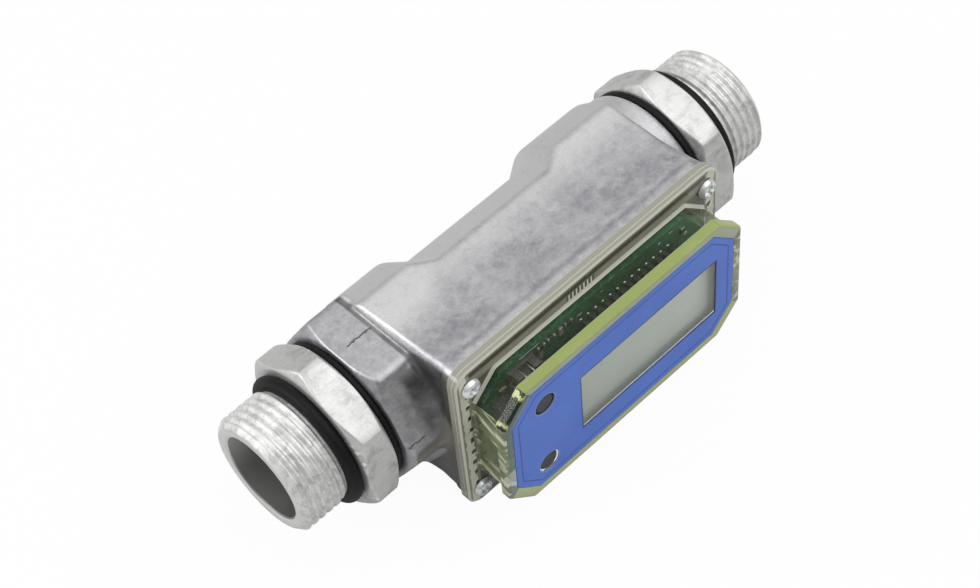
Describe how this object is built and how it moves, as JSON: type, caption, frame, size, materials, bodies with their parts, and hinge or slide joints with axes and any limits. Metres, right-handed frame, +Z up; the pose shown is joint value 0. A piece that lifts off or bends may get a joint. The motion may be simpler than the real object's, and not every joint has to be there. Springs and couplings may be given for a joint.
{
  "type": "turbine flow meter",
  "caption": "In-line turbine flow meter: cast barrel with threaded hexagon adapters at both ends and a display with two buttons under a clear octagonal cover.",
  "frame": {"origin": "centre of the inlet end face, on the pipe axis", "axes": "+X along the pipe in the direction of flow, -Y the way the display faces, +Z up as the display is read"},
  "size_m": [0.1613, 0.0651, 0.0546],
  "materials": {
    "cast_body": "as-cast die-cast aluminium, mottled",
    "adapter_metal": "machined aluminium",
    "seal_rubber": "black rubber",
    "gasket_rubber": "dark sheet rubber",
    "support_plastic": "moulded acetal",
    "spring_steel": "spring steel",
    "shaft_steel": "ground stainless steel",
    "bearing_plastic": "filled bearing plastic",
    "clear_plastic": "clear polycarbonate with a yellow-green edge tint",
    "screw_steel": "plated steel",
    "label_print": "blue printed overlay",
    "window_film": "clear film",
    "lcd_glass": "grey-green liquid crystal glass",
    "backlight_plastic": "milky light guide",
    "tinned_pins": "tinned metal",
    "board_green": "green solder mask",
    "chip_plastic": "black epoxy",
    "connector_plastic": "dark grey nylon",
    "header_plastic": "white nylon",
    "switch_plastic": "black plastic",
    "cell_sleeve": "plain grey cell sleeve",
    "holder_plastic": "black plastic",
    "sensor_plastic": "black epoxy-filled sensor",
    "rotor_plastic": "white acetal",
    "magnet_metal": "nickel-plated magnet",
    "button_plastic": "dark grey rubbery plastic"
  },
  "bodies": {
    "meter": {"body_casting": "cast_body", "inlet_adapter": "adapter_metal", "outlet_adapter": "adapter_metal", "inlet_body_seal": "seal_rubber", "outlet_body_seal": "seal_rubber", "inlet_port_seal": "seal_rubber", "outlet_port_seal": "seal_rubber", "inlet_rotor_support": "support_plastic", "outlet_rotor_support": "support_plastic", "rotor_shaft": "shaft_steel", "cover_gasket": "gasket_rubber", "clear_cover": "clear_plastic", "cover_screws": "screw_steel", "front_label": "label_print", "display_window": "window_film", "lcd_panel": "lcd_glass", "lcd_backlight": "backlight_plastic", "lcd_pins": "tinned_pins", "circuit_board": "board_green", "board_screws": "screw_steel", "control_chip": "chip_plastic", "filter_capacitor": "chip_plastic", "battery_connector": "connector_plastic", "sensor_connector": "header_plastic", "button_switches": "switch_plastic", "battery_cells": "cell_sleeve", "battery_holder": "holder_plastic", "battery_contacts": "spring_steel", "pickup_sensor": "sensor_plastic", "sensor_leads": "tinned_pins"},
    "rotor": {"turbine_rotor": "rotor_plastic", "rotor_magnets": "magnet_metal", "inlet_rotor_bush": "bearing_plastic", "outlet_rotor_bush": "bearing_plastic"},
    "upper_key": {"upper_button": "button_plastic", "upper_switch_stem": "switch_plastic"},
    "lower_key": {"lower_button": "button_plastic", "lower_switch_stem": "switch_plastic"}
  },
  "joints": [
    {"name": "rotor_spin", "type": "hinge", "parent": "meter", "child": "rotor", "pos_m": [0.08065, 0, 0], "axis": [1, 0, 0], "continuous": true},
    {"name": "upper_button_press", "type": "slide", "parent": "meter", "child": "upper_key", "axis": [0, 1, 0], "range_m": [0, 0.0006], "stiffness_N_per_m": 1200, "springref_m": -0.0003},
    {"name": "lower_button_press", "type": "slide", "parent": "meter", "child": "lower_key", "axis": [0, 1, 0], "range_m": [0, 0.0006], "stiffness_N_per_m": 1200, "springref_m": -0.0003}
  ]
}
